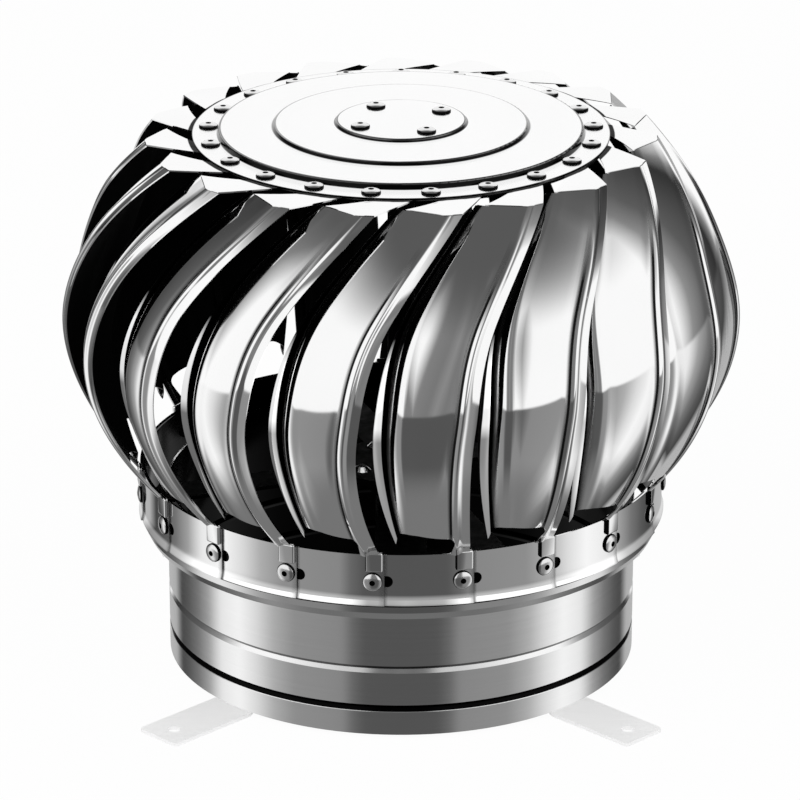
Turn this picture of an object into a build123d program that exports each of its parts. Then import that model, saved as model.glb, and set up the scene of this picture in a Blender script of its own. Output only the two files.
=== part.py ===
"""Rotating chimney cowl: a fixed neck with four feet carries a shaft, and a vaned rotor spins on it."""

from build123d import *
from dataclasses import dataclass
from math import cos, degrees, pi, radians, sin
import os

os.makedirs("parts", exist_ok=True)

# Fixed neck and its feet
neck_radius = 100.0
neck_sheet = 0.8
neck_height = 76.0
groove_heights = (11.8, 29.4)
groove_width = 3.2
groove_depth = 1.3
foot_count = 4
foot_thickness = 1.5
foot_width = 22.0
foot_hole_offset = 33.4
foot_end_margin = 9.6
foot_leg_gap = 0.6
foot_bend_radius = 2.0
foot_corner_radius = 2.0
foot_hole_radius = 2.75
weld_gap = 0.02

# Cross bars that hold the shaft in the neck
bar_width = 22.0
bar_thickness = 2.5
bar_flange_height = 16.0
bar_bend_radius = 3.0
lower_bar_height = 33.0
upper_bar_height = 56.0

# Shaft, nuts, washers and clips
shaft_radius = 5.0
shaft_end_drop = 14.0
shaft_chamfer = 0.8
spigot_overrun = 2.2
nut_across_flats = 17.0
nut_thickness = 8.0
washer_radius = 10.0
washer_thickness = 1.6
bore_clearance = 0.05
clip_lift = 0.1
spacer_step = 0.4
clip_radius = 6.4
clip_thickness = 0.8
clip_groove_depth = 0.5
clip_mouth = 3.0

# Sealed ball bearings
bearing_bore_radius = 4.0
bearing_outer_radius = 11.0
bearing_width = 7.0
bearing_inner_ring = 2.1
seal_gap = 0.1

# Top plate, pressed in three steps
plate_sheet = 0.8
rim_level = 230.5
rim_radius = 87.1
rim_step_gap = 0.75
middle_step_radius = 52.4
hub_step_radius = 26.5
step_rises = (2.5, 1.5, 1.3)
step_slope = 0.6
clamp_ring_sheet = 1.0
clamp_ring_half_width = 5.7

# Pop rivets
rivet_shank_radius = 2.0
rivet_head_radius = 4.0
rivet_head_height = 1.7
rivet_crown_radius = 2.2
rivet_tail = 2.4
rivet_hole_clearance = 0.1
rim_rivet_count = 21
rim_rivet_edge = 6.35
rim_rivet_turn = 90.0
hub_rivet_count = 4
hub_rivet_offset = 6.4
hub_rivet_turn = 32.0

# Bearing housings
housing_flange_margin = 5.6
housing_flange_thickness = 2.0
housing_wall = 2.5
housing_lip = 3.0
housing_lip_reach = 2.5
housing_skirt = 1.0
housing_fit = 0.02

# Rotor ring behind the vane plates
ring_gap = 9.45
ring_sheet = 0.8
ring_bottom = 56.2
ring_roll = 1.6
ring_top_margin = 0.7

# Rotor spider between the ring and the lower bearing
arm_count = 4
arm_width = 16.0
arm_sheet = 1.6
arm_level = 81.0
arm_flange_height = 12.0
arm_hub_margin = 1.5
arm_bend_radius = 2.4
arm_turn = 20.0

# Vanes
vane_count = 19
first_vane_turn = -171.76
vane_sheet = 0.6
vane_gap = 0.05
plate_bottom = 63.4
plate_height = 22.3
plate_right_turn = 2.47
plate_tail_turn = 2.6
vane_rivet_rise = 10.5
slot_width = 5.0
slot_beyond_seam = 3.5
window_height = 7.4
window_left_turn = -14.6
window_right_turn = -2.6
window_corner_radius = 3.2
bead_width = 4.0
bead_height = 1.5
bead_fade = 24.0
bead_trace = 0.15
blade_bulge = 41.8
blade_inset = 12.8
flange_width = 3.6
brow_turn = 12.3
hook_turn = 2.2
hook_spread = 2.2
gutter_least = 1.3
gutter_rise = 7.0
gutter_floor = 1.2
lip_width = 2.4
lip_least = 1.2
tongue_width = 5.6
tongue_height = 1.5
tongue_shift = 1.2
tongue_stop = 0.6
tongue_slit = 0.5
tab_inner_margin = 2.75
tab_rim_turn = 28.0
tab_inner_turn = 33.0
tab_gap_turn = 0.3
blade_lap = 0.4


@dataclass(frozen=True)
class VaneSection:
    """One level of a vane, as a share of the way from its plate's top edge up to its crease.

    The bulge is a share of blade_bulge: how far the free edge stands out of a straight line from the
    ring to the rim. The turn is where that edge runs. The insets of the brow and the lip are shares of
    blade_inset: how far in they lie from the edge.
    """

    share: float
    bulge: float
    edge_turn: float
    brow_inset: float
    lip_inset: float


vane_sections = (
    VaneSection(0.0, 0.029, 1.6, 0.01, 0.025),
    VaneSection(0.193, 0.61, -0.9, 0.375, 0.594),
    VaneSection(0.45, 1.0, -1.0, 0.625, 0.812),
    VaneSection(0.742, 0.888, 4.1, 0.945, 1.0),
    VaneSection(1.0, 0.359, 19.3, 0.961, 1.016),
)

# Heights and radii that follow from the sizes above
neck_base = foot_thickness
neck_inner = neck_radius - neck_sheet
foot_hole_circle = neck_radius + foot_hole_offset
foot_reach = foot_hole_circle + foot_end_margin
ring_inner = neck_radius + ring_gap
ring_outer_radius = ring_inner + ring_sheet
rim_rivet_circle = rim_radius - rim_rivet_edge
tab_inner_radius = rim_rivet_circle - tab_inner_margin
clamp_ring_inner = rim_rivet_circle - clamp_ring_half_width
clamp_ring_outer = rim_rivet_circle + clamp_ring_half_width
step_radii = (
    rim_rivet_circle - rivet_head_radius - step_slope - rim_step_gap,
    middle_step_radius,
    hub_step_radius,
)
hub_rivet_circle = bearing_outer_radius + housing_wall + hub_rivet_offset
housing_flange_radius = hub_rivet_circle + housing_flange_margin
arm_hub_radius = housing_flange_radius + arm_hub_margin
rim_top = neck_base + rim_level
rim_underside = rim_top - plate_sheet
tab_underside = rim_underside - vane_sheet
clamp_ring_bottom = tab_underside - clamp_ring_sheet
disc_top = rim_top + sum(step_rises)
plate_top = plate_bottom + plate_height
vane_rivet_height = neck_base + plate_bottom + vane_rivet_rise
vane_pitch = 360 / vane_count
ring_top = neck_base + plate_top - ring_top_margin
rivet_hole_radius = rivet_shank_radius + rivet_hole_clearance
tail_turn = vane_pitch + plate_tail_turn
spiral_rise = (vane_sheet + vane_gap) / vane_pitch
upper_bearing_top = disc_top - plate_sheet - housing_lip
upper_bearing_bottom = upper_bearing_top - bearing_width
lower_housing_top = neck_base + arm_level
lower_bearing_top = lower_housing_top - housing_lip
lower_bearing_bottom = lower_bearing_top - bearing_width
blade_root = neck_base + plate_top - blade_lap
crease_rise = tab_underside - blade_root
foot_leg_height = groove_heights[0] - groove_width / 2 - foot_leg_gap


def polar(radius: float, turn: float) -> Vector:
    """Point in plan at a radius and a turn in degrees, counted counter-clockwise from +X."""
    return Vector(radius * cos(radians(turn)), radius * sin(radians(turn)))


def plate_inner_radius(turn: float) -> float:
    """Inside of a vane's plate, which winds outward from its tail so that it laps the next one."""
    return ring_outer_radius + vane_gap + spiral_rise * (turn + tail_turn)


def circle_turn(length: float, radius: float) -> float:
    """Turn in degrees that an arc of this length spans on a circle."""
    return degrees(length / radius)


def radial_plane(turn: float, height: float = 0) -> Plane:
    """Upright plane through the axis, facing outward at a turn, with its Y side up."""
    return Plane(origin=(0, 0, height), x_dir=tuple(polar(1, turn + 90)), z_dir=tuple(polar(1, turn)))


def finish(part: Part, name: str):
    """Label a finished piece and write it."""
    part.label = name
    export_step(part, f"parts/{name}.step")


def pop_rivet(grip: float) -> Part:
    """Set pop rivet with the underside of its head at the origin and its shank along -Z."""
    with BuildPart() as rivet:
        with BuildSketch(Plane.XZ):
            with BuildLine():
                Polyline(
                    (0, -grip - rivet_tail),
                    (rivet_shank_radius, -grip - rivet_tail),
                    (rivet_shank_radius, 0),
                    (rivet_head_radius, 0),
                    (rivet_crown_radius, rivet_head_height),
                    (0, rivet_head_height),
                    close=True,
                )
            make_face()
        revolve(axis=Axis.Z)
    return rivet.part


# Neck: rolled sheet with two grooves pressed inward
with BuildPart() as neck:
    with BuildSketch(Plane.XZ):
        with BuildLine():
            wall_start = (neck_radius, neck_base)
            for height in groove_heights:
                below = (neck_radius, neck_base + height - groove_width / 2)
                above = (neck_radius, neck_base + height + groove_width / 2)
                Polyline(wall_start, below, (neck_radius - groove_depth, neck_base + height), above)
                wall_start = above
            Line(wall_start, (neck_radius, neck_base + neck_height))
            offset(amount=neck_sheet, side=Side.LEFT)
        make_face()
    revolve(axis=Axis.Z)
finish(neck.part, "neck")

# Feet: straps bent up inside the neck and welded to its wall
with BuildPart() as foot_blank:
    with BuildSketch(Plane.XZ):
        with BuildLine():
            leg_face = neck_inner - weld_gap - foot_thickness / 2
            FilletPolyline(
                (foot_reach, foot_thickness / 2),
                (leg_face, foot_thickness / 2),
                (leg_face, neck_base + foot_leg_height),
                radius=foot_bend_radius + foot_thickness / 2,
            )
        trace(line_width=foot_thickness)
    extrude(amount=foot_width / 2, both=True)
    with BuildSketch(Plane.XY.offset(neck_base)):
        Rectangle(neck_inner * 2, foot_width * 2, align=(Align.MIN, Align.CENTER))
        Circle(neck_inner - weld_gap, mode=Mode.SUBTRACT)
    extrude(amount=foot_leg_height * 2, mode=Mode.SUBTRACT)
    fillet(
        foot_blank.edges().filter_by(Axis.Z).group_by(Axis.X)[-1],
        radius=foot_corner_radius,
    )
    with Locations((foot_hole_circle, 0, foot_thickness)):
        Hole(foot_hole_radius)

foot_names = ("back_right", "back_left", "front_left", "front_right")
for index, side in enumerate(foot_names):
    with BuildPart() as foot:
        add(foot_blank.part, rotation=(0, 0, 45 + 360 / foot_count * index))
    finish(foot.part, f"foot_{side}")


def cross_bar(level: float, turn: float) -> Part:
    """Flat bar across the neck, its ends bent up, rolled to the wall and welded to it."""
    middle = neck_base + level + bar_thickness / 2
    flange_line = neck_inner - weld_gap - bar_thickness / 2
    with BuildPart() as bar:
        with BuildSketch(Plane.XZ):
            with BuildLine():
                FilletPolyline(
                    (-flange_line, middle + bar_flange_height),
                    (-flange_line, middle),
                    (flange_line, middle),
                    (flange_line, middle + bar_flange_height),
                    radius=bar_bend_radius + bar_thickness / 2,
                )
            trace(line_width=bar_thickness)
        extrude(amount=bar_width / 2, both=True)
        with BuildSketch(Plane.XY.offset(neck_base + level)):
            Rectangle(neck_inner * 2.2, bar_width * 2)
            Circle(neck_inner - weld_gap, mode=Mode.SUBTRACT)
        extrude(amount=bar_flange_height * 2, mode=Mode.SUBTRACT)
        with Locations(Plane.XY.offset(neck_base + level + bar_thickness)):
            Hole(shaft_radius + bore_clearance)
    with BuildPart() as turned:
        add(bar.part, rotation=(0, 0, turn))
    return turned.part


finish(cross_bar(lower_bar_height, 0), "lower_cross_bar")
finish(cross_bar(upper_bar_height, 90), "upper_cross_bar")

# Shaft: thick through the cross bars, with a long spigot through both bearings
shaft_bottom = neck_base + lower_bar_height - shaft_end_drop
spigot_top = upper_bearing_top + spigot_overrun
clip_bottom = upper_bearing_top + clip_lift
with BuildPart() as shaft:
    with BuildSketch(Plane.XZ):
        with BuildLine():
            spigot_radius = bearing_bore_radius - housing_fit
            groove_radius = spigot_radius - clip_groove_depth
            clip_top = clip_bottom + clip_thickness + 2 * clip_lift
            Polyline(
                (0, shaft_bottom),
                (shaft_radius - shaft_chamfer, shaft_bottom),
                (shaft_radius, shaft_bottom + shaft_chamfer),
                (shaft_radius, lower_bearing_bottom),
                (spigot_radius, lower_bearing_bottom),
                (spigot_radius, clip_bottom - clip_lift),
                (groove_radius, clip_bottom - clip_lift),
                (groove_radius, clip_top),
                (spigot_radius, clip_top),
                (spigot_radius, spigot_top - shaft_chamfer),
                (spigot_radius - shaft_chamfer, spigot_top),
                (0, spigot_top),
                close=True,
            )
        make_face()
    revolve(axis=Axis.Z)
finish(shaft.part, "shaft")

# Spacer tube between the bearings' inner rings
with BuildPart() as spacer_tube:
    with BuildSketch(Plane.XY.offset(lower_bearing_top)):
        Circle(bearing_bore_radius + bearing_inner_ring - spacer_step)
        Circle(bearing_bore_radius + bore_clearance, mode=Mode.SUBTRACT)
    extrude(amount=upper_bearing_bottom - lower_bearing_top)
finish(spacer_tube.part, "spacer_tube")

# Clip that snaps into the groove over the upper bearing
with BuildPart() as shaft_clip:
    with BuildSketch(Plane.XY.offset(clip_bottom)):
        Circle(clip_radius)
        Circle(groove_radius + bore_clearance, mode=Mode.SUBTRACT)
        Rectangle(
            clip_radius * 2,
            clip_mouth,
            align=(Align.MIN, Align.CENTER),
            mode=Mode.SUBTRACT,
        )
    extrude(amount=clip_thickness)
finish(shaft_clip.part, "shaft_clip")

# Washers and nuts on both sides of each bar
washer_bottoms = []
nut_bottoms = []
for level in (lower_bar_height, upper_bar_height):
    bar_bottom = neck_base + level
    bar_top = bar_bottom + bar_thickness
    washer_bottoms += [bar_bottom - washer_thickness, bar_top]
    nut_bottoms += [bar_bottom - washer_thickness - nut_thickness, bar_top + washer_thickness]

with BuildPart() as shaft_washers:
    for bottom in washer_bottoms:
        with BuildSketch(Plane.XY.offset(bottom)):
            Circle(washer_radius)
            Circle(shaft_radius + bore_clearance, mode=Mode.SUBTRACT)
        extrude(amount=washer_thickness)
finish(shaft_washers.part, "shaft_washers")

with BuildPart() as shaft_nuts:
    for bottom in nut_bottoms:
        with BuildSketch(Plane.XY.offset(bottom)):
            RegularPolygon(nut_across_flats / 2, 6, major_radius=False)
            Circle(shaft_radius + bore_clearance, mode=Mode.SUBTRACT)
        extrude(amount=nut_thickness)
finish(shaft_nuts.part, "shaft_nuts")

# Sealed ball bearings: the inner ring, and the outer ring that holds the seals
for name, bottom in (("lower", lower_bearing_bottom), ("upper", upper_bearing_bottom)):
    inner_land = bearing_bore_radius + bearing_inner_ring
    with BuildPart() as inner_ring:
        with BuildSketch(Plane.XY.offset(bottom)):
            Circle(inner_land)
            Circle(bearing_bore_radius, mode=Mode.SUBTRACT)
        extrude(amount=bearing_width)
    finish(inner_ring.part, f"{name}_bearing_inner_ring")

    with BuildPart() as outer_ring:
        with BuildSketch(Plane.XY.offset(bottom)):
            Circle(bearing_outer_radius)
            Circle(inner_land + seal_gap, mode=Mode.SUBTRACT)
        extrude(amount=bearing_width)
    finish(outer_ring.part, f"{name}_bearing_outer_ring")


def bearing_housing(top: float, name: str):
    """Turned cup under a flange: the bearing is pressed up against its lip from below."""
    bore = bearing_outer_radius + housing_fit
    with BuildPart() as housing:
        with BuildSketch(Plane.XZ):
            with BuildLine():
                Polyline(
                    (bore - housing_lip_reach, top),
                    (housing_flange_radius, top),
                    (housing_flange_radius, top - housing_flange_thickness),
                    (bore + housing_wall, top - housing_flange_thickness),
                    (bore + housing_wall, top - housing_lip - bearing_width - housing_skirt),
                    (bore, top - housing_lip - bearing_width - housing_skirt),
                    (bore, top - housing_lip),
                    (bore - housing_lip_reach, top - housing_lip),
                    close=True,
                )
            make_face()
        revolve(axis=Axis.Z)
        with Locations(Plane.XY.offset(top)):
            with PolarLocations(hub_rivet_circle, hub_rivet_count, hub_rivet_turn):
                Hole(rivet_hole_radius)
    finish(housing.part, name)


bearing_housing(disc_top - plate_sheet, "upper_bearing_housing")
bearing_housing(lower_housing_top, "lower_bearing_housing")

# Top plate: rim, then three discs that each stand a step higher
with BuildPart() as top_plate:
    with BuildSketch(Plane.XZ):
        with BuildLine():
            level = rim_underside
            start = (rim_radius, level)
            for radius, rise in zip(step_radii, step_rises):
                Polyline(start, (radius + step_slope, level), (radius, level + rise))
                level += rise
                start = (radius, level)
            Line(start, (0, level))
            offset(amount=plate_sheet, side=Side.RIGHT)
        make_face()
    revolve(axis=Axis.Z)
    with Locations(Plane.XY.offset(disc_top)):
        with PolarLocations(rim_rivet_circle, rim_rivet_count, rim_rivet_turn):
            Hole(rivet_hole_radius)
        with PolarLocations(hub_rivet_circle, hub_rivet_count, hub_rivet_turn):
            Hole(rivet_hole_radius)
finish(top_plate.part, "top_plate")

with BuildPart() as clamp_ring:
    with BuildSketch(Plane.XY.offset(clamp_ring_bottom)):
        Circle(clamp_ring_outer)
        Circle(clamp_ring_inner, mode=Mode.SUBTRACT)
        with PolarLocations(rim_rivet_circle, rim_rivet_count, rim_rivet_turn):
            Circle(rivet_hole_radius, mode=Mode.SUBTRACT)
    extrude(amount=clamp_ring_sheet)
finish(clamp_ring.part, "clamp_ring")

with BuildPart() as rim_rivets:
    rim_grip = rim_top - clamp_ring_bottom
    with Locations(Plane.XY.offset(rim_top)):
        with PolarLocations(rim_rivet_circle, rim_rivet_count, rim_rivet_turn):
            add(pop_rivet(rim_grip))
finish(rim_rivets.part, "rim_rivets")

with BuildPart() as hub_rivets:
    with Locations(Plane.XY.offset(disc_top)):
        with PolarLocations(hub_rivet_circle, hub_rivet_count, hub_rivet_turn):
            add(pop_rivet(plate_sheet + housing_flange_thickness))
finish(hub_rivets.part, "hub_rivets")

# Rotor ring: carries the vanes' plates and hangs over the neck as a rain skirt
with BuildPart() as rotor_ring:
    with BuildSketch(Plane.XZ):
        with BuildLine():
            bottom = neck_base + ring_bottom
            Polyline(
                (ring_outer_radius - ring_roll, bottom),
                (ring_outer_radius, bottom + ring_roll * 2),
                (ring_outer_radius, ring_top),
            )
            offset(amount=ring_sheet, side=Side.LEFT)
        make_face()
    revolve(axis=Axis.Z)
    for index in range(vane_count):
        turn = first_vane_turn + vane_pitch * index
        with BuildSketch(radial_plane(turn, vane_rivet_height)):
            Circle(rivet_hole_radius)
        extrude(amount=ring_outer_radius * 1.1, mode=Mode.SUBTRACT)
finish(rotor_ring.part, "rotor_ring")

# Rotor spider: four arms over the neck's top edge, bent down and welded inside the ring
with BuildPart() as rotor_spider:
    arm_middle = lower_housing_top + arm_sheet / 2
    flange_line = ring_inner - weld_gap - arm_sheet / 2
    for index in range(arm_count):
        turn = arm_turn + 360 / arm_count * index
        along = Plane(origin=(0, 0, 0), x_dir=tuple(polar(1, turn)), z_dir=tuple(polar(1, turn - 90)))
        with BuildSketch(along):
            with BuildLine():
                FilletPolyline(
                    (arm_hub_radius / 2, arm_middle),
                    (flange_line, arm_middle),
                    (flange_line, arm_middle - arm_flange_height),
                    radius=arm_bend_radius + arm_sheet / 2,
                )
            trace(line_width=arm_sheet)
        extrude(amount=arm_width / 2, both=True)
    with BuildSketch(Plane.XY.offset(lower_housing_top)):
        Circle(arm_hub_radius)
    extrude(amount=arm_sheet)
    with BuildSketch(Plane.XY.offset(lower_housing_top - arm_flange_height)):
        Circle(ring_inner * 1.1)
        Circle(ring_inner - weld_gap, mode=Mode.SUBTRACT)
    extrude(amount=arm_flange_height * 2, mode=Mode.SUBTRACT)
    with Locations(Plane.XY.offset(lower_housing_top + arm_sheet)):
        Hole(bearing_outer_radius - housing_lip_reach)
        with PolarLocations(hub_rivet_circle, hub_rivet_count, hub_rivet_turn):
            Hole(rivet_hole_radius)
    for index in range(vane_count):
        turn = first_vane_turn + vane_pitch * index
        with BuildSketch(radial_plane(turn, vane_rivet_height)):
            Circle(rivet_hole_radius)
        extrude(amount=ring_outer_radius, mode=Mode.SUBTRACT)
finish(rotor_spider.part, "rotor_spider")

with BuildPart() as spider_rivets:
    with Locations(Plane.XY.offset(lower_housing_top + arm_sheet)):
        with PolarLocations(hub_rivet_circle, hub_rivet_count, hub_rivet_turn):
            add(pop_rivet(arm_sheet + housing_flange_thickness))
finish(spider_rivets.part, "spider_rivets")


def edge_radius(section: VaneSection) -> float:
    """Radius of a vane's free edge at one of its levels."""
    straight = ring_outer_radius + (rim_radius - ring_outer_radius) * section.share
    return straight + section.bulge * blade_bulge


def sheet_outline(section: VaneSection) -> list:
    """Outline of one level of a vane, out along its face and back along its inner side."""
    swell = sin(pi * section.share)
    radius = edge_radius(section)
    fade = min(1, (1 - section.share) * crease_rise / bead_fade)
    bead = bead_height * (bead_trace + (1 - bead_trace) * fade)
    bead_start = section.edge_turn - circle_turn(flange_width, radius)
    brow = section.edge_turn - brow_turn
    lip = brow - hook_turn - hook_spread * swell
    lip_radius = radius - section.lip_inset * blade_inset
    floor_radius = lip_radius - gutter_least - gutter_rise * swell
    lip_reach = lip_least + (lip_width - lip_least) * swell
    middle = (
        polar(radius, section.edge_turn),
        polar(radius, bead_start),
        polar(radius + bead, bead_start - circle_turn(bead_width / 2, radius)),
        polar(radius, bead_start - circle_turn(bead_width, radius)),
        polar(radius - section.brow_inset * blade_inset, brow),
        polar(floor_radius, lip + circle_turn(gutter_floor, floor_radius)),
        polar(lip_radius, lip),
        polar(lip_radius + lip_reach / 3, lip + circle_turn(lip_reach, lip_radius)),
    )
    outer = []
    inner = []
    for index, point in enumerate(middle):
        before = middle[index] - middle[index - 1] if index else middle[1] - middle[0]
        after = middle[index + 1] - middle[index] if point != middle[-1] else before
        normals = [heading.normalized().rotate(Axis.Z, 90) for heading in (before, after)]
        miter = (normals[0] + normals[1]) / (1 + normals[0].dot(normals[1]))
        outer.append(point + miter * vane_sheet / 2)
        inner.append(point - miter * vane_sheet / 2)
    return outer + inner[::-1]


# Vane: one sheet with a plate below, a hooked and beaded blade, and a tab under the rim
crease = vane_sections[-1]
tab_left = crease.edge_turn - brow_turn + tab_gap_turn * 3
with BuildPart() as vane_blank:
    for section in vane_sections:
        with BuildSketch(Plane.XY.offset(blade_root + crease_rise * section.share)):
            with BuildLine():
                Polyline(*sheet_outline(section), close=True)
            make_face()
    loft()

    # Window between the plate and the blade's lower edge
    with BuildSketch(radial_plane(0, neck_base + plate_top)) as window:
        left = ring_outer_radius * sin(radians(window_left_turn))
        right = ring_outer_radius * sin(radians(window_right_turn))
        with Locations((left, 0)):
            Rectangle(right - left, window_height, align=(Align.MIN, Align.MIN))
        fillet(window.vertices().group_by(Axis.Z)[-1].sort_by(Axis.Y)[0], radius=window_corner_radius)
    extrude(amount=neck_radius * 2, mode=Mode.SUBTRACT)

    # Plate that winds out from under its neighbour
    with BuildSketch(Plane.XY.offset(neck_base + plate_bottom)):
        with BuildLine():
            turns = (-tail_turn, -tail_turn / 2 + plate_right_turn / 2, plate_right_turn)
            inside = [polar(plate_inner_radius(turn), turn) for turn in turns]
            outside = [polar(plate_inner_radius(turn) + vane_sheet, turn) for turn in turns]
            ThreePointArc(*inside)
            ThreePointArc(*outside)
            Line(inside[0], outside[0])
            Line(inside[2], outside[2])
        make_face()
    extrude(amount=plate_height)

    # Tongue: the bead's lower end, pressed out over the plate, with a slit beside it
    tongue_bottom = vane_rivet_height + rivet_head_radius + tongue_stop
    tongue_face = plate_inner_radius(0) + vane_sheet / 2
    with BuildSketch(Plane.XY.offset(tongue_bottom)):
        with BuildLine():
            Polyline(
                (tongue_face, tongue_shift - tongue_width / 2),
                (tongue_face + tongue_height, tongue_shift - tongue_width / 4),
                (tongue_face + tongue_height, tongue_shift + tongue_width / 4),
                (tongue_face, tongue_shift + tongue_width / 2),
                close=True,
            )
        make_face()
    extrude(amount=neck_base + plate_top - tongue_bottom + tongue_stop)
    with BuildSketch(radial_plane(0, tongue_bottom)):
        with Locations((tongue_shift - tongue_width / 2 - tongue_slit, 0)):
            Rectangle(tongue_slit, plate_height, align=(Align.MIN, Align.MIN))
    extrude(amount=ring_outer_radius * 1.02, mode=Mode.SUBTRACT)

    # Rivet hole, and the long hole in the tail that the neighbour's rivet passes
    with BuildSketch(radial_plane(0, vane_rivet_height)):
        Circle(rivet_hole_radius)
    extrude(amount=ring_outer_radius * 1.1, mode=Mode.SUBTRACT)
    with BuildSketch(radial_plane(-vane_pitch, vane_rivet_height)):
        seam = ring_outer_radius * radians(plate_right_turn)
        SlotCenterPoint((0, 0), (seam + slot_beyond_seam - slot_width / 2, 0), slot_width)
    extrude(amount=ring_outer_radius * 1.1, mode=Mode.SUBTRACT)

    # Tab that lies flat under the rim
    with BuildSketch(Plane.XY.offset(tab_underside)):
        with BuildLine():
            crease_radius = edge_radius(crease) + vane_sheet / 2
            crease_right = polar(crease_radius, crease.edge_turn)
            crease_left = polar(crease_radius - crease.brow_inset * blade_inset, tab_left)
            left_shift = tab_gap_turn - vane_pitch
            Line(crease_left, crease_right)
            ThreePointArc(crease_right, polar(rim_radius, tab_rim_turn), polar(tab_inner_radius, tab_inner_turn))
            ThreePointArc(
                polar(tab_inner_radius, tab_inner_turn),
                polar(tab_inner_radius, tab_inner_turn + left_shift / 2),
                polar(tab_inner_radius, tab_inner_turn + left_shift),
            )
            ThreePointArc(
                polar(tab_inner_radius, tab_inner_turn + left_shift),
                polar((tab_inner_radius + rim_radius) / 2, (tab_inner_turn + tab_rim_turn) / 2 + left_shift),
                crease_left,
            )
        make_face()
    extrude(amount=vane_sheet)

for index in range(vane_count):
    vane_turn = first_vane_turn + vane_pitch * index
    with BuildPart() as vane:
        add(vane_blank.part, rotation=(0, 0, vane_turn))
        with Locations(Plane.XY.offset(rim_underside)):
            with PolarLocations(rim_rivet_circle, rim_rivet_count, rim_rivet_turn):
                Hole(rivet_hole_radius, depth=vane_sheet * 2)
    finish(vane.part, f"vane_{index + 1:02d}")

# Rivets through the vanes' plates and the ring, their heads clear of the winding plate
vane_rivet_seat = plate_inner_radius(circle_turn(rivet_head_radius, ring_outer_radius)) + vane_sheet
with BuildPart() as vane_rivets:
    for index in range(vane_count):
        turn = first_vane_turn + vane_pitch * index
        seat = polar(vane_rivet_seat, turn) + Vector(0, 0, vane_rivet_height)
        with Locations(Plane(origin=tuple(seat), x_dir=(0, 0, 1), z_dir=tuple(polar(1, turn)))):
            add(pop_rivet(vane_rivet_seat - ring_inner))
finish(vane_rivets.part, "vane_rivets")
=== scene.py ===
"""Looks of the rotating chimney cowl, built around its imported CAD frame."""

import logging
import math
from collections.abc import Mapping
from dataclasses import dataclass, field
from enum import Enum
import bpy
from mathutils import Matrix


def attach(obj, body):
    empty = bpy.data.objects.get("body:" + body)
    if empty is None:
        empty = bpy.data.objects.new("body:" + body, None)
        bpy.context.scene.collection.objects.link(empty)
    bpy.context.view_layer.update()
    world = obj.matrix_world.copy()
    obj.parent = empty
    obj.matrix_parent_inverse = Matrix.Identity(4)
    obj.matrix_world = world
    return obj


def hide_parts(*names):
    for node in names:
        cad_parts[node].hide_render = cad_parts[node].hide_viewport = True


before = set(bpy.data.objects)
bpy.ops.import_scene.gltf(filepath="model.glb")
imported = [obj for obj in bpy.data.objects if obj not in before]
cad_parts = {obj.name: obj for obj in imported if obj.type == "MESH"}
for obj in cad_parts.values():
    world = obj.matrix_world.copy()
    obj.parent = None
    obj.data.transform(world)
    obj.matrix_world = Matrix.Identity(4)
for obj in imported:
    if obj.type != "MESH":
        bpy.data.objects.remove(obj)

from types import MappingProxyType

import bmesh
import bpy
from mathutils import Matrix, Vector

log = logging.getLogger("cowl")
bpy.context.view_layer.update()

Stops = tuple[tuple[float, float], ...]
Out = bpy.types.NodeSocket
Inputs = Mapping[str | int, object]
EMPTY: Inputs = MappingProxyType({})
NEAR_BLACK = (0.004, 0.004, 0.004, 1)
WHITE = (1, 1, 1, 1)
FACING_IN, FACING_OUT = -0.25, -0.1


class Body(Enum):
    """The two bodies that pieces ride on."""

    FIXED = "base"
    ROTOR = "rotor"


class Edge(Enum):
    """How a value passes from one side of a border to the other."""

    STRAIGHT = "LINEAR"
    SOFT = "SMOOTHSTEP"


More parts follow.
